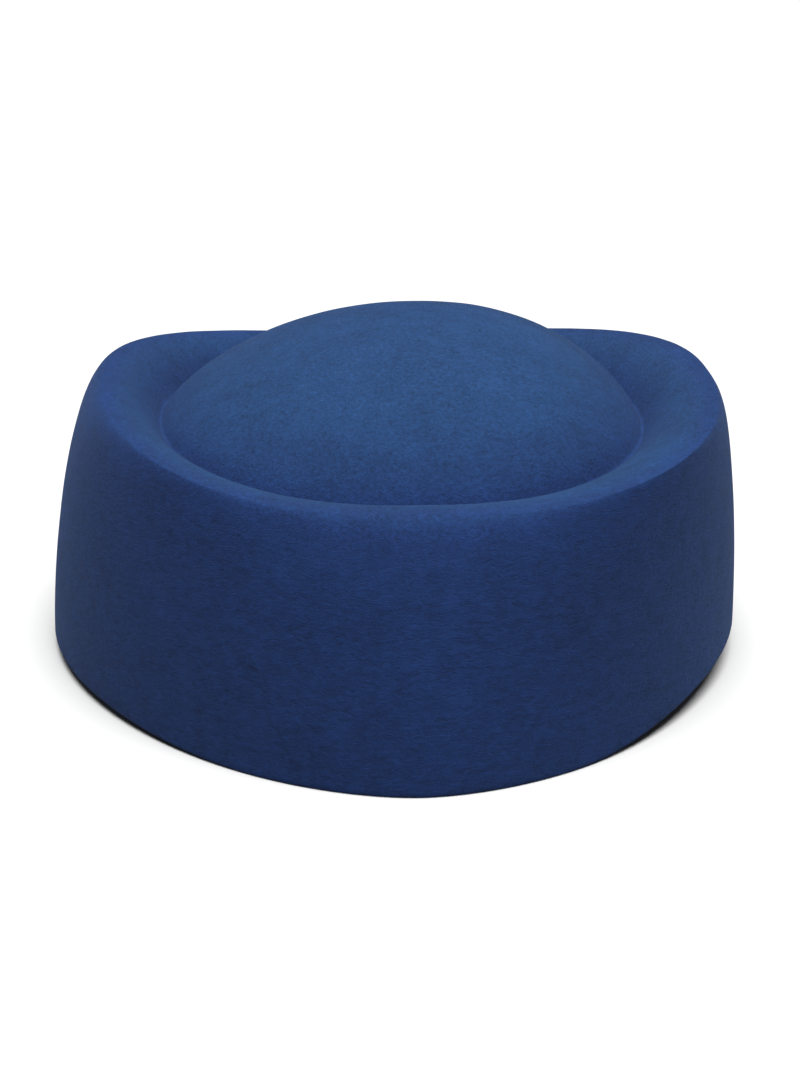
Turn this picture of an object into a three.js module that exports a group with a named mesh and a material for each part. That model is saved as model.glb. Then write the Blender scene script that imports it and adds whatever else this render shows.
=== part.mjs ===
// Felt pillbox hat with a domed crown inside a raised rolled rim.
// One piece of blocked wool felt, in millimetres, +Z up, front towards -Y.
// It rests on its lower edge, with the origin under the middle of its outline.

import * as THREE from 'three';

// Driving sizes
const hatWidth = 189; // lower edge, side to side
const hatLength = 205; // lower edge, front to back
const rimHeight = 75; // crest of the rim at the sides
const domeRise = 29.5; // top of the dome above the crease at the sides
const feltThickness = 2.4;
const leftLift = 2.4; // lower edge clear of the surface at the left side
const rightLift = 6.9; // the same at the right side, where the felt sits higher

// How full the rounded forms are: 2 is a plain ellipse, more is squarer
const footFullness = 1.5; // where the band rises from the lower edge
const crestFullness = 2.03; // over the crest, on both its sides
const creaseFullness = 1.1; // where the lip comes down to the dome
const domeFullness = 0.73; // under 1 the dome is rounder than a parabola

// Spacing of the mesh
const columns = 72;
const bandRows = 11;
const lipRows = 7;
const domeRows = 8;

// Three rings shape the hat. Width and shift are shares of hatWidth, front and back
// are reaches in shares of hatLength, and the heights are shares of rimHeight.
const rings = {
  edge: {
    widthShare: 1.0, shiftShare: 0.0, frontShare: 0.528, backShare: 0.472,
    frontHeightShare: 0.0, sideHeightShare: 0.0, backHeightShare: 0.0,
    frontFullness: 1.77, backFullness: 2.26,
  },
  crest: {
    widthShare: 0.855, shiftShare: 0.016, frontShare: 0.454, backShare: 0.405,
    frontHeightShare: 0.879, sideHeightShare: 1.0, backHeightShare: 0.864,
    frontFullness: 2.57, backFullness: 2.4,
  },
  crease: {
    widthShare: 0.687, shiftShare: 0.007, frontShare: 0.337, backShare: 0.352,
    frontHeightShare: 0.747, sideHeightShare: 0.822, backHeightShare: 0.7,
    frontFullness: 2.2, backFullness: 2.17,
  },
};

// The lower edge lies flat round the front and back, and lifts past this share of the half width
const flatShare = 0.45;

// The dome leans a little to the right, so its top stands this share of hatWidth off the middle
const topShiftShare = 0.05;

// Under the crease the felt turns in a soft fold, at most this many thicknesses deep
const foldDepth = 1.5;

// A signed power, for the rounded outlines
function bend(value, fullness) {
  return Math.sign(value) * Math.abs(value) ** (2 / fullness);
}

// One point of a ring, at an angle counted from the right side over the back
function ringPoint(ring, angle) {
  const across = Math.cos(angle);
  const along = Math.sin(angle);
  const atFront = along < 0;
  const fullness = atFront ? ring.frontFullness : ring.backFullness;
  const reach = hatLength * (atFront ? ring.frontShare : ring.backShare);
  const middleHeight = atFront ? ring.frontHeightShare : ring.backHeightShare;
  const share = ring.sideHeightShare + (middleHeight - ring.sideHeightShare) * along ** 2;
  return new THREE.Vector3(
    hatWidth * (ring.shiftShare + (ring.widthShare / 2) * bend(across, fullness)),
    reach * bend(along, fullness),
    rimHeight * share,
  );
}

// The lower edge, with its soft lift at the two sides
function edgePoint(angle) {
  const point = ringPoint(rings.edge, angle);
  const across = Math.cos(angle);
  const lift = across < 0 ? leftLift : rightLift;
  point.z += lift * THREE.MathUtils.smoothstep(Math.abs(across), flatShare, 1);
  return point;
}

// The outer side of the felt at one angle, from the lower edge to the last row of the dome
function sectionAt(angle) {
  const edge = edgePoint(angle);
  const crest = ringPoint(rings.crest, angle);
  const crease = ringPoint(rings.crease, angle);
  const points = [];

  // the band stands upright on its edge and rolls in level at the crest
  for (let row = 0; row <= bandRows; row += 1) {
    const turn = (Math.PI / 2) * (row / bandRows);
    const out = bend(Math.cos(turn), crestFullness);
    const up = bend(Math.sin(turn), footFullness);
    points.push(new THREE.Vector3(
      THREE.MathUtils.lerp(crest.x, edge.x, out),
      THREE.MathUtils.lerp(crest.y, edge.y, out),
      THREE.MathUtils.lerp(edge.z, crest.z, up),
    ));
  }

  // the lip rolls on over the crest and slopes down into the crease
  for (let row = 1; row <= lipRows; row += 1) {
    const turn = (Math.PI / 2) * (row / lipRows);
    const inward = bend(Math.sin(turn), crestFullness);
    const up = bend(Math.cos(turn), creaseFullness);
    points.push(new THREE.Vector3(
      THREE.MathUtils.lerp(crest.x, crease.x, inward),
      THREE.MathUtils.lerp(crest.y, crease.y, inward),
      THREE.MathUtils.lerp(crease.z, crest.z, up),
    ));
  }

  // the dome rises from the crease to its top in the middle
  const top = domeTop();
  for (let row = 1; row < domeRows; row += 1) {
    const share = Math.cos((Math.PI / 2) * (row / domeRows));
    const foot = THREE.MathUtils.lerp(rimHeight * rings.crease.sideHeightShare, crease.z, share ** 3);
    points.push(new THREE.Vector3(
      THREE.MathUtils.lerp(top.x, crease.x, share),
      THREE.MathUtils.lerp(top.y, crease.y, share),
      foot + domeRise * (1 - share ** 2) ** domeFullness,
    ));
  }
  return points;
}

function domeTop() {
  return new THREE.Vector3(
    hatWidth * topShiftShare,
    0,
    rimHeight * rings.crease.sideHeightShare + domeRise,
  );
}

// The inner side of the felt: each point lies one thickness in from the two strips that it joins
function innerSkin(outer) {
  return outer.map((section, column) => {
    const before = outer[(column + columns - 1) % columns];
    const after = outer[(column + 1) % columns];
    return section.map((point, row) => {
      const round = new THREE.Vector3().subVectors(after[row], before[row]);
      if (row === 0) {
        const level = new THREE.Vector3(round.y, -round.x, 0).normalize();
        return point.clone().addScaledVector(level, -feltThickness);
      }
      const ahead = section[row + 1] ?? domeTop();
      const below = new THREE.Vector3().subVectors(point, section[row - 1]).cross(round).negate();
      const above = new THREE.Vector3().subVectors(ahead, point).cross(round).negate();
      below.normalize();
      above.normalize();
      const normal = new THREE.Vector3().addVectors(below, above).normalize();
      const depth = Math.min(1 / normal.dot(above), foldDepth);
      return point.clone().addScaledVector(normal, -feltThickness * depth);
    });
  });
}

// Joins the two skins over the top and round the lower edge into one closed body
function feltGeometry() {
  const outer = [];
  for (let column = 0; column < columns; column += 1) {
    outer.push(sectionAt(2 * Math.PI * (column / columns)));
  }
  const inner = innerSkin(outer);
  const rows = outer[0].length;
  const points = [...outer.flat(), ...inner.flat()];
  const outerTop = points.push(domeTop()) - 1;
  const innerTop = points.push(domeTop().setZ(domeTop().z - feltThickness)) - 1;
  const outerAt = (column, row) => (column % columns) * rows + row;
  const innerAt = (column, row) => columns * rows + outerAt(column, row);

  const faces = [];
  const addQuad = (a, b, c, d) => faces.push(a, b, c, a, c, d);
  for (let column = 0; column < columns; column += 1) {
    const next = column + 1;
    for (let row = 0; row < rows - 1; row += 1) {
      addQuad(outerAt(column, row), outerAt(next, row), outerAt(next, row + 1), outerAt(column, row + 1));
      addQuad(innerAt(column, row), innerAt(column, row + 1), innerAt(next, row + 1), innerAt(next, row));
    }
    addQuad(outerAt(column, 0), innerAt(column, 0), innerAt(next, 0), outerAt(next, 0));
    faces.push(outerAt(column, rows - 1), outerAt(next, rows - 1), outerTop);
    faces.push(innerAt(column, rows - 1), innerTop, innerAt(next, rows - 1));
  }

  const geometry = new THREE.BufferGeometry().setFromPoints(points);
  geometry.setIndex(faces);
  geometry.computeVertexNormals();
  return geometry;
}

const woolFelt = new THREE.MeshStandardMaterial({ color: 0x2b4a7d, roughness: 0.95, metalness: 0 });

const feltBody = new THREE.Mesh(feltGeometry(), woolFelt);
feltBody.name = 'felt_body';
// The front reaches further than the back, so the body moves back to stand over the origin
feltBody.position.y = (hatLength * (rings.edge.frontShare - rings.edge.backShare)) / 2;

const hat = new THREE.Group();
hat.add(feltBody);

export default hat;
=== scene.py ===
"""Looks of a felt pillbox hat: one blocked piece of blue wool felt with a domed crown inside a raised rim.

All sizes are in metres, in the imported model's frame: +Z up, the hat's front towards -Y.
"""

import logging
import math
from dataclasses import dataclass, field
from enum import Enum

import bpy
import numpy as np
from mathutils import Euler, Matrix, Vector, noise

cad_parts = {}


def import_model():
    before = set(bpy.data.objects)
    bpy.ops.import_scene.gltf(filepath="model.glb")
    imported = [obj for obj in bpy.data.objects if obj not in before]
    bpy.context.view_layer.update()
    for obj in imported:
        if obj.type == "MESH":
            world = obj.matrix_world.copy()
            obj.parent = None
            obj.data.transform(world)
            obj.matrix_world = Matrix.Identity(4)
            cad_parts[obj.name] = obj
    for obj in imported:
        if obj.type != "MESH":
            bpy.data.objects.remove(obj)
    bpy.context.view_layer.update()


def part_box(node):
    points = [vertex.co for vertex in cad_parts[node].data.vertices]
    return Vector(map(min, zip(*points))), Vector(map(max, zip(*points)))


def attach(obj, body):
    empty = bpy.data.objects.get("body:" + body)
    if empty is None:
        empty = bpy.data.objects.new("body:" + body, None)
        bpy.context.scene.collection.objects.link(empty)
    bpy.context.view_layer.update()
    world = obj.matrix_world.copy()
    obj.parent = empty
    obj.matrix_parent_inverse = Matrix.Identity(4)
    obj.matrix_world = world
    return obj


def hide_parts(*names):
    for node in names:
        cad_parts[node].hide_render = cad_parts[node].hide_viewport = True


log = logging.getLogger("pillbox_hat")

MM = 0.001  # one millimetre

PAINTED_SHADE_ATTRIBUTE = "painted_shade_mask"  # the mesh attribute that says where shade is painted into the colour

# Some nodes give several sockets one name, so these sockets go by number
FIRST, SECOND = 0, 1  # inputs of Math and Vector Math
NUMBER_A, NUMBER_B, NUMBER_OUT = 2, 3, 0  # of a Mix of numbers
COLOUR_A, COLOUR_B, COLOUR_OUT = 6, 7, 2  # of a Mix of colours


def hex_to_linear(colour: str) -> tuple[float, float, float, float]:
    """Turns an sRGB colour into the linear values that a shader takes.

    Args:
        colour: Six hex digits with a leading #.

    Returns:
        Linear red, green and blue, and a full alpha.
    """
    values = []
    for place in (1, 3, 5):
        share = int(colour[place:place + 2], 16) / 255
        # the sRGB standard's own curve
        values.append(share / 12.92 if share <= 0.04045 else ((share + 0.055) / 1.055) ** 2.4)
    return (values[0], values[1], values[2], 1.0)


def add_node(
    tree: bpy.types.NodeTree, kind: str, settings: dict | None = None, links: dict | None = None
) -> bpy.types.Node:
    """Adds one node to a tree.

    Args:
        tree: The material's or world's node tree.
        kind: Blender's name for the kind of node.
        settings: Values by name, of an input socket where the node has one of that name,
            and otherwise of the node itself.
        links: The output sockets that feed the node, by the input's name or number.

    Returns:
        The new node.
    """
    node = tree.nodes.new(kind)
    for name, value in (settings or {}).items():
        if isinstance(name, int) or name in node.inputs:
            node.inputs[name].default_value = value
        else:
            setattr(node, name, value)
    for name, source in (links or {}).items():
        tree.links.new(source, node.inputs[name])
    return node


def bend(value: np.ndarray, fullness: np.ndarray | float) -> np.ndarray:
    """A signed power, for the rounded outlines.

    Args:
        value: Sines or cosines.
        fullness: 2 for a plain ellipse, and more for a squarer one.

    Returns:
        The bent values, from -1 to 1.
    """
    return np.sign(value) * np.abs(value) ** (2 / fullness)


def smoothstep(value: np.ndarray, low: float, high: float) -> np.ndarray:
    """A soft step from 0 to 1.

    Args:
        value: Where to read the step.
        low: Where it starts.
        high: Where it ends.

    Returns:
        The step's height at each value.
    """
    share = np.clip((value - low) / (high - low), 0.0, 1.0)
    return share * share * (3 - 2 * share)


def blend(start: np.ndarray | float, end: np.ndarray, share: np.ndarray | float) -> np.ndarray:
    """A point between two others, at a share of the way."""
    return start + (end - start) * share


def length_along(points: np.ndarray) -> np.ndarray:
    """Measures each section from its first point.

    Args:
        points: Points by column and row.

    Returns:
        The length along the section to each point, by column and row.
    """
    steps = np.linalg.norm(np.diff(points, axis=1), axis=-1)
    return np.concatenate([np.zeros((len(points), 1)), np.cumsum(steps, axis=1)], axis=1)


class Side(Enum):
    """The two skins of the felt."""

    OUTSIDE = "outside"
    INSIDE = "inside"


@dataclass(frozen=True)
class Ring:
    """One ring round the hat. Widths are shares of its width, reaches of its length, heights of its rim."""

    width: float
    shift: float
    front: float
    back: float
    front_height: float
    side_height: float
    back_height: float
    front_fullness: float
    back_fullness: float

    def points(self, angles: np.ndarray, size: Vector, rim_height: float) -> np.ndarray:
        """Lays out the ring.

        Args:
            angles: Angles in radians, counted from the right side over the back.
            size: The hat's width and length.
            rim_height: Height of the crest at the sides.

        Returns:
            One point for each angle.
        """
        across = np.cos(angles)
        along = np.sin(angles)
        at_front = along < 0
        fullness = np.where(at_front, self.front_fullness, self.back_fullness)
        reach = np.where(at_front, self.front, self.back) * size.y
        middle = np.where(at_front, self.front_height, self.back_height)
        height = self.side_height + (middle - self.side_height) * along**2
        return np.stack(
            [
                size.x * (self.shift + self.width / 2 * bend(across, fullness)),
                reach * bend(along, fullness),
                rim_height * height,
            ],
            axis=-1,
        )


@dataclass(frozen=True)
class WoolFelt:
    """Wool felt, dyed mid blue, blocked over a wooden form while damp and then dried.

    The tangled fibres scatter the light, so it is matt, with a pale bloom at grazing angles. Fulling leaves
    fine mottling, and the pull of the block leaves short level wrinkles in the nap of the band. Shade is
    painted
    into the colour: deeper where the felt slopes away from facing up, in the crease, along the crest and at
    the cut lower edge.
    """

    name: str = "blocked_wool_felt"

    # Colours
    painted_lit_top: str = "#112949"  # the felt's colour where it faces up, painted as lit
    painted_shade_colour: str = "#0d2146"  # painted shade, a deeper, purer blue, for the slopes, the crease, the crest and the cut edge
    bloom: str = "#5a8cc8"  # what the fibres' sides scatter back

    # How it takes the light
    roughness: float = 0.95
    specular: float = 0.15  # wool hardly shines
    sheen: float = 0.1
    sheen_roughness: float = 0.3

    # Sizes in the nap
    tuft: float = 1.0 * MM  # a clump of fibres
    hair: float = 0.4 * MM  # single fibres are 0.02 mm, too fine to show, so they are drawn coarser
    wrinkle: float = 2.6 * MM  # how long a wrinkle of the band is
    wrinkle_squeeze: float = 2.2  # how many times as long as high it is
    wrinkle_bend: float = 1.0  # how wavy it is
    cloud: float = 6 * MM  # slow drift in how deep the dye took
    drift: float = 34 * MM
    nap_height: float = 0.5 * MM

    # How tangled the fibres look in every pattern
    tangle_detail: float = 3.0
    tangle_roughness: float = 0.6
    tangle_bend: float = 0.4

    # How far the felt faces up: 0 is upright and 1 is level
    wrinkled_below: float = 0.1
    tufted_above: float = 0.55
    # below the first of these the colour is all painted shade, above the second all painted lit
    painted_shade_below: float = 0.5
    painted_lit_above: float = 0.85

    # Shares
    lit_share_in_painted_shade: float = 0.25  # share of the lit colour kept where the painted shade is full
    hair_share: float = 0.45  # of single fibres in the nap
    drift_share: float = 0.45  # of the widest drift in the dye
    dye_share: float = 0.3  # of the dye's drift in how light the felt looks
    darkest: float = 0.35  # height in the pattern that looks darkest
    lightest: float = 0.65
    mottling: float = 0.5  # how far the clumps differ in depth, as a share of their mean

    @property
    def tangle(self) -> dict[str, float]:
        """The settings that all the noises share."""
        return {
            "Detail": self.tangle_detail,
            "Roughness": self.tangle_roughness,
            "Distortion": self.tangle_bend,
        }

    def make(self) -> bpy.types.Material:
        """Builds the material.

        Returns:
            The material, with its pattern in the object's own coordinates.
        """
        material = bpy.data.materials.new(self.name)
        material.use_nodes = True
        tree = material.node_tree
        tree.nodes.clear()
        place = add_node(tree, "ShaderNodeTexCoord").outputs["Object"]
        normal = add_node(tree, "ShaderNodeNewGeometry").outputs["Normal"]
        upward = add_node(tree, "ShaderNodeSeparateXYZ", links={"Vector": normal}).outputs["Z"]
        nap = self.nap(tree, place, upward)
        relief = add_node(
            tree, "ShaderNodeBump", {"Strength": 1.0, "Distance": self.nap_height}, {"Height": nap}
        ).outputs["Normal"]
        shader = add_node(
            tree,
            "ShaderNodeBsdfPrincipled",
            {
                "Roughness": self.roughness,
                "Specular IOR Level": self.specular,
                "Sheen Weight": self.sheen,
                "Sheen Roughness": self.sheen_roughness,
                "Sheen Tint": hex_to_linear(self.bloom),
            },
            {"Base Color": self.dye(tree, place, upward, nap), "Normal": relief},
        )
        add_node(tree, "ShaderNodeOutputMaterial", links={"Surface": shader.outputs["BSDF"]})
        return material

    def nap(
        self, tree: bpy.types.NodeTree, place: bpy.types.NodeSocket, upward: bpy.types.NodeSocket
    ) -> bpy.types.NodeSocket:
        """Draws the nap, in even tufts on the dome and in level wrinkles on the upright band.

        Args:
            tree: The material's node tree.
            place: Gives the object's own coordinates.
            upward: Gives how far the felt faces up.

        Returns:
            Gives the nap's height, about half way at its mean.
        """
        upright = add_node(
            tree,
            "ShaderNodeMapRange",
            {
                "From Min": self.wrinkled_below,
                "From Max": self.tufted_above,
                "To Min": 1.0,
                "To Max": 0.0,
                "interpolation_type": "SMOOTHSTEP",
            },
            {"Value": upward},
        ).outputs["Result"]

        # coordinates that are squeezed upright draw the pattern out level
        squeeze = {"operation": "MULTIPLY", SECOND: (1.0, 1.0, self.wrinkle_squeeze)}
        squeezed = add_node(tree, "ShaderNodeVectorMath", squeeze, {FIRST: place}).outputs["Vector"]
        wavy = {**self.tangle, "Scale": 1 / self.wrinkle, "Distortion": self.wrinkle_bend}
        fine = {**self.tangle, "Scale": 1 / self.hair}
        clumped = {**self.tangle, "Scale": 1 / self.tuft}
        wrinkles = add_node(tree, "ShaderNodeTexNoise", wavy, {"Vector": squeezed}).outputs["Fac"]
        hairs = add_node(tree, "ShaderNodeTexNoise", fine, {"Vector": squeezed}).outputs["Fac"]
        tufts = add_node(tree, "ShaderNodeTexNoise", clumped, {"Vector": place}).outputs["Fac"]
        grain = add_node(
            tree,
            "ShaderNodeMix",
            {"data_type": "FLOAT"},
            {"Factor": upright, NUMBER_A: tufts, NUMBER_B: wrinkles},
        ).outputs[NUMBER_OUT]
        return add_node(
            tree,
            "ShaderNodeMix",
            {"data_type": "FLOAT", "Factor": self.hair_share},
            {NUMBER_A: grain, NUMBER_B: hairs},
        ).outputs[NUMBER_OUT]

    def dye(
        self,
        tree: bpy.types.NodeTree,
        place: bpy.types.NodeSocket,
        upward: bpy.types.NodeSocket,
        nap: bpy.types.NodeSocket,
    ) -> bpy.types.NodeSocket:
        """Colours the felt: random mottling of the dye, with painted shade on the slopes, in the crease,
        along the crest and at the cut edge.

        Args:
            tree: The material's node tree.
            place: Gives the object's own coordinates.
            upward: Gives how far the felt faces up.
            nap: Gives the nap's height.

        Returns:
            Gives the felt's colour.
        """
        # painted shade: the colour is lighter where the felt faces up, as on the dome, and darker on the
        # slopes, in the crease, along the crest and at the cut edge
        level = add_node(
            tree,
            "ShaderNodeMapRange",
            {"From Min": self.painted_shade_below, "From Max": self.painted_lit_above},
            {"Value": upward},
        ).outputs["Result"]
        painted_shade_mask = add_node(tree, "ShaderNodeAttribute", {"attribute_name": PAINTED_SHADE_ATTRIBUTE}).outputs["Fac"]
        # where the painted shade mask is full, only a small share of the lit colour is kept
        clear_of_painted_shade = add_node(
            tree, "ShaderNodeMapRange", {"To Min": 1.0, "To Max": self.lit_share_in_painted_shade}, {"Value": painted_shade_mask}
        ).outputs["Result"]
        painted_lit_top = add_node(
            tree, "ShaderNodeMath", {"operation": "MULTIPLY"}, {FIRST: level, SECOND: clear_of_painted_shade}
        ).outputs["Value"]
        colour = add_node(
            tree,
            "ShaderNodeMix",
            {
                "data_type": "RGBA",
                COLOUR_A: hex_to_linear(self.painted_shade_colour),
                COLOUR_B: hex_to_linear(self.painted_lit_top),
            },
            {"Factor": painted_lit_top},
        ).outputs[COLOUR_OUT]

        # clumps of fibres and slow drifts of the dye look lighter or darker
        near = {**self.tangle, "Scale": 1 / self.cloud}
        wide = {**self.tangle, "Scale": 1 / self.drift}
        clouds = add_node(tree, "ShaderNodeTexNoise", near, {"Vector": place}).outputs["Fac"]
        drifts = add_node(tree, "ShaderNodeTexNoise", wide, {"Vector": place}).outputs["Fac"]
        slow = add_node(
            tree,
            "ShaderNodeMix",
            {"data_type": "FLOAT", "Factor": self.drift_share},
            {NUMBER_A: clouds, NUMBER_B: drifts},
        ).outputs[NUMBER_OUT]
        depth = add_node(
            tree,
            "ShaderNodeMix",
            {"data_type": "FLOAT", "Factor": self.dye_share},
            {NUMBER_A: nap, NUMBER_B: slow},
        ).outputs[NUMBER_OUT]
        lightness = add_node(
            tree,
            "ShaderNodeMapRange",
            {
                "From Min": self.darkest,
                "From Max": self.lightest,
                "To Min": 1 - self.mottling,
                "To Max": 1 + self.mottling,
                "clamp": False,
            },
            {"Value": depth},
        ).outputs["Result"]
        return add_node(
            tree, "ShaderNodeVectorMath", {"operation": "SCALE"}, {"Vector": colour, "Scale": lightness}
        ).outputs["Vector"]


@dataclass(frozen=True)
class PaleFloor:
    """Matt painted board: an even pale grey, rolled smooth, that only takes soft shadows."""

    name: str = "matt_painted_board"
    colour: str = "#9c9c9c"
    roughness: float = 0.9
    specular: float = 0.2
    stipple: float = 2.5 * MM  # the roller's texture
    stipple_detail: float = 2.0
    stipple_height: float = 0.05 * MM
    stipple_strength: float = 0.1

    def make(self) -> bpy.types.Material:
        """Builds the material.

        Returns:
            The material, with a faint roller texture.
        """
        material = bpy.data.materials.new(self.name)
        material.use_nodes = True
        tree = material.node_tree
        tree.nodes.clear()
        place = add_node(tree, "ShaderNodeTexCoord").outputs["Object"]
        rolled = {"Scale": 1 / self.stipple, "Detail": self.stipple_detail}
        roller = add_node(tree, "ShaderNodeTexNoise", rolled, {"Vector": place}).outputs["Fac"]
        relief = add_node(
            tree,
            "ShaderNodeBump",
            {"Strength": self.stipple_strength, "Distance": self.stipple_height},
            {"Height": roller},
        ).outputs["Normal"]
        shader = add_node(
            tree,
            "ShaderNodeBsdfPrincipled",
            {
                "Base Color": hex_to_linear(self.colour),
                "Roughness": self.roughness,
                "Specular IOR Level": self.specular,
            },
            {"Normal": relief},
        )
        add_node(tree, "ShaderNodeOutputMaterial", links={"Surface": shader.outputs["BSDF"]})
        return material


@dataclass
class FeltBody:
    """The hat itself: lower edge, band, shoulder, crest, inner wall, crease and dome in one piece of felt."""

    low: Vector
    high: Vector

    # Sizes of the hat
    rim_height: float = 75 * MM
    dome_rise: float = 29.5 * MM
    thickness: float = 2.4 * MM
    left_lift: float = 2.4 * MM
    right_lift: float = 6.9 * MM
    flat_share: float = 0.45  # of the half width, along which the lower edge lies flat
    top_shift: float = 0.05  # share of the width by which the dome leans to the right
    edge: Ring = Ring(
        width=1.0, shift=0.0, front=0.528, back=0.472,
        front_height=0.0, side_height=0.0, back_height=0.0, front_fullness=1.77, back_fullness=2.26,
    )
    crest: Ring = Ring(
        width=0.855, shift=0.016, front=0.454, back=0.405,
        front_height=0.879, side_height=1.0, back_height=0.864, front_fullness=2.57, back_fullness=2.4,
    )
    crease: Ring = Ring(
        width=0.687, shift=0.007, front=0.337, back=0.352,
        front_height=0.747, side_height=0.822, back_height=0.7, front_fullness=2.2, back_fullness=2.17,
    )

    # How full the rounded forms are: 2 is a plain ellipse, and more is squarer
    foot_fullness: float = 1.5
    crest_fullness: float = 2.03
    crease_fullness: float = 1.1
    dome_fullness: float = 0.73

    # What the soft felt adds
    edge_radius: float = 0.7 * MM
    edge_steps: int = 4
    fold_radius: float = 1.8 * MM
    painted_shade_width: float = 6 * MM  # width of the painted shade along the crest and the cut edge
    # width of the painted shade in the crease
    crease_shade_width: float = 4 * MM
    even_foot: float = 12 * MM  # the unevenness grows from none at the lower edge to all at this height
    unevenness: tuple[tuple[float, float], ...] = ((45 * MM, 0.35 * MM), (9 * MM, 0.06 * MM))

    # Spacing of the mesh
    columns: int = 320
    band_rows: int = 70
    lip_rows: int = 36
    dome_rows: int = 70
    inner_step: int = 2  # the inner skin keeps every second row

    finish: WoolFelt = field(default_factory=WoolFelt)

    @property
    def size(self) -> Vector:
        """Width, length and height of the hat."""
        return self.high - self.low

    @property
    def set_back(self) -> float:
        """How far the felt moves back, to stand over the origin with its longer front."""
        return self.size.y * (self.edge.front - self.edge.back) / 2

    def dome_top(self) -> np.ndarray:
        """The highest point of the dome, before the felt moves back."""
        height = self.rim_height * self.crease.side_height + self.dome_rise
        return np.array([self.size.x * self.top_shift, 0.0, height])

    def outer_skin(self) -> np.ndarray:
        """Lays out the outer side of the felt.

        Returns:
            Points by column and row, from the lower edge to the last row of the dome.
        """
        angles = np.linspace(0, 2 * math.pi, self.columns, endpoint=False)
        edge = self.edge.points(angles, self.size, self.rim_height)
        crest = self.crest.points(angles, self.size, self.rim_height)
        crease = self.crease.points(angles, self.size, self.rim_height)
        across = np.cos(angles)
        lift = np.where(across < 0, self.left_lift, self.right_lift)
        edge[:, 2] += lift * smoothstep(np.abs(across), self.flat_share, 1.0)

        # the band stands upright on its edge and rolls in level at the crest
        turn = np.linspace(0, math.pi / 2, self.band_rows + 1)[None, :]
        out = bend(np.cos(turn), self.crest_fullness)
        up = bend(np.sin(turn), self.foot_fullness)
        band = self.strip(crest, edge, out, up)

        # the lip rolls on over the crest and slopes down into the crease
        turn = np.linspace(0, math.pi / 2, self.lip_rows + 1)[None, 1:]
        inward = bend(np.sin(turn), self.crest_fullness)
        level = bend(np.cos(turn), self.crease_fullness)
        lip = self.strip(crest, crease, inward, level)

        # the dome rises from the crease to its top in the middle
        share = np.cos(np.linspace(0, math.pi / 2, self.dome_rows + 1))[None, 1:-1]
        top = self.dome_top()
        dome = blend(top[None, None, :], crease[:, None, :], share[:, :, None])
        foot = blend(self.rim_height * self.crease.side_height, crease[:, None, 2], share**3)
        dome[:, :, 2] = foot + self.dome_rise * (1 - share**2) ** self.dome_fullness

        skin = np.concatenate([band, lip, dome], axis=1)
        skin[:, :, 1] += self.set_back
        return skin

    def strip(self, start: np.ndarray, end: np.ndarray, out: np.ndarray, up: np.ndarray) -> np.ndarray:
        """Lays a rounded strip between two rings.

        Args:
            start: The ring that the strip reaches where out is 0.
            end: The ring that it reaches where out is 1.
            out: Share of the way out, by row.
            up: Share of the way up from the end ring, by row.

        Returns:
            Points by column and row.
        """
        shares = np.broadcast_to(out, (self.columns, out.shape[1]))[:, :, None]
        strip = blend(start[:, None, :], end[:, None, :], shares)
        strip[:, :, 2] = blend(end[:, None, 2], start[:, None, 2], up)
        return strip

    def soft_crease(self, skin: np.ndarray) -> np.ndarray:
        """Rounds the fold between the rim and the dome, which felt is too thick to take sharply.

        Args:
            skin: Points by column and row.

        Returns:
            The points, averaged along each section near the crease.
        """
        run = length_along(skin)
        spacing = np.gradient(run, axis=1)
        from_crease = run - run[:, self.band_rows + self.lip_rows, None]
        near = np.exp(-((from_crease / (2 * self.fold_radius)) ** 2))
        softened = skin.copy()
        for row in range(self.band_rows + 1, skin.shape[1]):
            weight = spacing * np.exp(-(((run - run[:, row, None]) / self.fold_radius) ** 2))
            mean = (skin * weight[:, :, None]).sum(axis=1) / weight.sum(axis=1)[:, None]
            softened[:, row] = blend(skin[:, row], mean, near[:, row, None])
        return softened

    def normals(self, skin: np.ndarray, top: np.ndarray) -> np.ndarray:
        """Finds which way the felt faces.

        Args:
            skin: Points by column and row.
            top: The point that closes the skin.

        Returns:
            Outward unit normals by column and row.
        """
        closed = np.concatenate([skin, np.broadcast_to(top, (self.columns, 1, 3))], axis=1)
        around = np.roll(skin, -1, axis=0) - np.roll(skin, 1, axis=0)
        upward = np.empty_like(skin)
        upward[:, 1:] = closed[:, 2:] - closed[:, :-2]
        upward[:, 0] = closed[:, 1] - closed[:, 0]
        facing = np.cross(around, upward)
        return facing / np.linalg.norm(facing, axis=-1, keepdims=True)

    def hand_shaped(self, skin: np.ndarray, normals: np.ndarray) -> np.ndarray:
        """Gives the felt the slight unevenness of a piece that was pulled over its block by hand.

        Args:
            skin: Points by column and row.
            normals: Outward unit normals.

        Returns:
            The moved points.
        """
        moved = skin.copy()
        fade = smoothstep(skin[:, :, 2], 0.0, self.even_foot)
        for wave, depth in self.unevenness:
            values = np.array([noise.noise(Vector(point) / wave) for point in skin.reshape(-1, 3)])
            moved += normals * (fade * depth * values.reshape(fade.shape))[:, :, None]
        return moved

    def build(self) -> bpy.types.Object:
        """Makes the closed felt.

        Returns:
            The new object, in place.
        """
        plain = self.outer_skin()
        skin = self.soft_crease(plain)
        top = self.dome_top()
        top[1] += self.set_back
        skin = self.hand_shaped(skin, self.normals(skin, top))
        inner = skin - self.normals(skin, top) * self.thickness

        strips = {
            Side.OUTSIDE: skin[:, self.edge_start(skin):],
            Side.INSIDE: inner[:, self.inner_step::self.inner_step],
        }
        rounding = self.cut_edge(strips, plain[:, :1, 2])
        rows = np.concatenate([strips[Side.OUTSIDE][:, ::-1], rounding, strips[Side.INSIDE]], axis=1)
        tops = (top, top - np.array([0.0, 0.0, self.thickness]))
        crest_row = skin.shape[1] - 1 - self.band_rows
        # with a mask of where shade is painted into the colour
        return self.mesh(rows, tops, self.painted_shade_mask(rows, crest_row))

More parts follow.
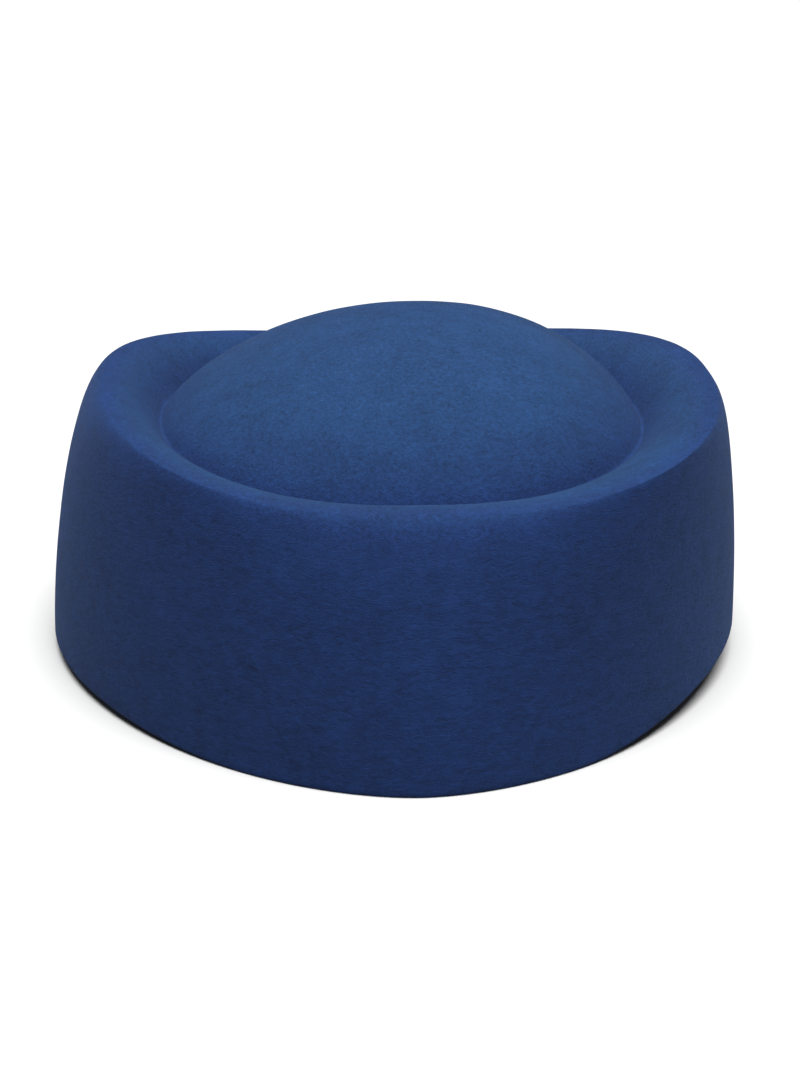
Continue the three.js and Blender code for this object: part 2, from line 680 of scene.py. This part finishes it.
    def edge_start(self, skin: np.ndarray) -> int:
        """The first row that lies above the rounding of the cut edge."""
        rise = (skin[:, :, 2] - skin[:, :1, 2]).min(axis=0)
        return int(np.argmax(rise > self.edge_radius))

    def cut_edge(self, strips: dict[Side, np.ndarray], base: np.ndarray) -> np.ndarray:
        """Rounds the cut lower edge between the two skins.

        Args:
            strips: Both skins by column and row, from the lower edge up.
            base: Height of the lower edge, by column.

        Returns:
            The edge's points by column and row, from the outside to the inside.
        """
        outside = strips[Side.OUTSIDE][:, :1]
        inside = strips[Side.INSIDE][:, :1]
        turns = np.linspace(0, math.pi / 2, self.edge_steps + 1)[1:]
        inset = (inside - outside) / np.linalg.norm(inside - outside, axis=-1, keepdims=True)
        near = outside + inset * (self.edge_radius * (1 - np.cos(turns)))[None, :, None]
        far = inside - inset * (self.edge_radius * (1 - np.cos(turns[::-1])))[None, :, None]
        near[:, :, 2] = blend(base, outside[:, :, 2], 1 - np.sin(turns))
        far[:, :, 2] = blend(base, inside[:, :, 2], 1 - np.sin(turns[::-1]))
        return np.concatenate([near, far], axis=1)

    def painted_shade_mask(self, rows: np.ndarray, crest_row: int) -> np.ndarray:
        """Says where shade is painted into the felt's colour: along the crest, in the crease and at the cut
        edge.

        Args:
            rows: Points by column and row, from the outer top down, round the edge and up inside.
            crest_row: The row that runs along the crest of the rim.

        Returns:
            1 along the crest, the crease and the cut edge, and 0 away from them, by column and row.
        """
        run = length_along(rows)
        from_crest = run - run[:, crest_row, None]
        from_crease = run - run[:, crest_row - self.lip_rows, None]
        from_edge = rows[:, :, 2] - rows[:, :, 2].min(axis=1, keepdims=True)
        # painted shade along the crest and the cut edge, joined with the painted shade in the crease
        crest_and_edge_shade = np.exp(-((np.minimum(np.abs(from_crest), from_edge) / self.painted_shade_width) ** 2))
        return np.maximum(crest_and_edge_shade, np.exp(-((from_crease / self.crease_shade_width) ** 2)))

    def mesh(
        self, rows: np.ndarray, tops: tuple[np.ndarray, np.ndarray], painted_shade_mask: np.ndarray
    ) -> bpy.types.Object:
        """Joins the points into one closed mesh.

        Args:
            rows: Points by column and row, from the outer top down, round the edge and up inside.
            tops: The outer and the inner point that close it.
            painted_shade_mask: How much shade is painted into the colour, by column and row.

        Returns:
            The new object.
        """
        points = np.concatenate([rows.reshape(-1, 3), np.stack(tops)])
        place = np.arange(painted_shade_mask.size).reshape(painted_shade_mask.shape)
        beside = np.roll(place, -1, axis=0)
        quads = np.stack([place[:, :-1], place[:, 1:], beside[:, 1:], beside[:, :-1]], axis=-1).reshape(-1, 4)
        outer_top = painted_shade_mask.size
        inner_top = outer_top + 1
        caps = [(outer_top, int(a), int(b)) for a, b in zip(place[:, 0], beside[:, 0])]
        caps += [(inner_top, int(b), int(a)) for a, b in zip(place[:, -1], beside[:, -1])]
        mesh = bpy.data.meshes.new("felt")
        mesh.from_pydata(points.tolist(), [], quads.tolist() + caps)
        # the painted shade mask, kept on the points for the material to read
        painted_shade_layer = mesh.attributes.new(PAINTED_SHADE_ATTRIBUTE, "FLOAT", "POINT")
        painted_shade_layer.data.foreach_set("value", np.append(painted_shade_mask.ravel(), np.zeros(len(tops))))
        mesh.validate()
        mesh.shade_smooth()
        piece = bpy.data.objects.new("felt", mesh)
        bpy.context.scene.collection.objects.link(piece)
        return piece

    def dress(self, piece: bpy.types.Object) -> None:
        """Gives the felt its finish, and puts it in the place of the plain solid.

        Args:
            piece: The built felt.
        """
        piece.data.materials.append(self.finish.make())
        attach(piece, "root")
        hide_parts("felt_body")


@dataclass
class Studio:
    """A pale floor under a wide overhead light, a little in front of the hat, in a softly lit room."""

    floor_radius: float = 6.0
    floor_sides: int = 96
    floor: PaleFloor = field(default_factory=PaleFloor)
    room: str = "#9c9ea2"
    room_strength: float = 0.38
    overhead_strength: float = 10.6
    overhead_from: Vector = field(default_factory=lambda: Vector((0.03, -0.19, 0.98)))
    overhead_spread: float = math.radians(44)

    def build(self) -> bpy.types.Object:
        """Makes the floor and the light over it.

        Returns:
            The floor.
        """
        angles = np.linspace(0, 2 * math.pi, self.floor_sides, endpoint=False)
        points = [(self.floor_radius * math.cos(a), self.floor_radius * math.sin(a), 0.0) for a in angles]
        mesh = bpy.data.meshes.new("floor")
        mesh.from_pydata(points, [], [tuple(range(self.floor_sides))])
        floor = bpy.data.objects.new("floor", mesh)
        bpy.context.scene.collection.objects.link(floor)
        light = bpy.data.lights.new("overhead_softbox", "SUN")
        light.energy = self.overhead_strength
        light.angle = self.overhead_spread
        lamp = bpy.data.objects.new("overhead_softbox", light)
        lamp.location = self.overhead_from
        lamp.rotation_euler = (-self.overhead_from).to_track_quat("-Z", "Y").to_euler()
        bpy.context.scene.collection.objects.link(lamp)
        return floor

    def dress(self, floor: bpy.types.Object) -> None:
        """Gives the floor its finish, and lights the room.

        Args:
            floor: The built floor.
        """
        floor.data.materials.append(self.floor.make())
        world = bpy.data.worlds.new("soft_room")
        world.use_nodes = True
        tree = world.node_tree
        tree.nodes.clear()
        walls = add_node(
            tree, "ShaderNodeBackground", {"Color": hex_to_linear(self.room), "Strength": self.room_strength}
        )
        add_node(tree, "ShaderNodeOutputWorld", links={"Surface": walls.outputs["Background"]})
        bpy.context.scene.world = world
        bpy.context.scene.view_settings.view_transform = "Standard"


@dataclass
class PhotoCamera:
    """The camera, in front of the hat, a little above it and to its left, as in the photograph."""

    target: Vector = field(default_factory=lambda: Vector((0.0, 0.0047, 0.0423)))
    distance: float = 0.6047
    elevation: float = math.radians(18.3)
    azimuth: float = math.radians(-3.47)
    pitch_down: float = math.radians(1.25)
    pan_right: float = math.radians(0.138)
    roll: float = math.radians(0.45)
    focal_pixels: float = 2198.0
    long_side_pixels: float = 1067.0
    sensor: float = 36.0  # millimetres, as Blender measures its cameras
    nearest: float = 0.05
    farthest: float = 50.0

    def build(self) -> bpy.types.Object:
        """Makes the camera and gives it to the scene.

        Returns:
            The camera.
        """
        data = bpy.data.cameras.new("photo_camera")
        data.sensor_fit = "AUTO"
        data.sensor_width = self.sensor
        data.lens = self.focal_pixels * self.sensor / self.long_side_pixels
        data.clip_start = self.nearest
        data.clip_end = self.farthest
        camera = bpy.data.objects.new("photo_camera", data)
        level = math.cos(self.elevation)
        back = Vector(
            (math.sin(self.azimuth) * level, -math.cos(self.azimuth) * level, math.sin(self.elevation))
        )
        camera.location = self.target + back * self.distance
        aim = Euler((math.pi / 2 - self.elevation - self.pitch_down, 0.0, self.azimuth - self.pan_right))
        camera.rotation_euler = (aim.to_matrix() @ Matrix.Rotation(self.roll, 3, "Z")).to_euler()
        bpy.context.scene.collection.objects.link(camera)
        bpy.context.scene.camera = camera
        return camera


def main() -> None:
    """Builds the hat, the studio and the camera in order."""
    logging.basicConfig(level=logging.INFO, format="%(message)s")
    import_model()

    low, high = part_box("felt_body")
    body = FeltBody(low, high)
    felt = body.build()
    body.dress(felt)
    log.info("%s: %d points, %d faces", felt.name, len(felt.data.vertices), len(felt.data.polygons))

    studio = Studio()
    floor = studio.build()
    studio.dress(floor)
    log.info("%s: %.1f m across", floor.name, 2 * studio.floor_radius)

    camera = PhotoCamera().build()
    log.info("%s: %.1f mm lens", camera.name, camera.data.lens)


if __name__ == "__main__":
    main()
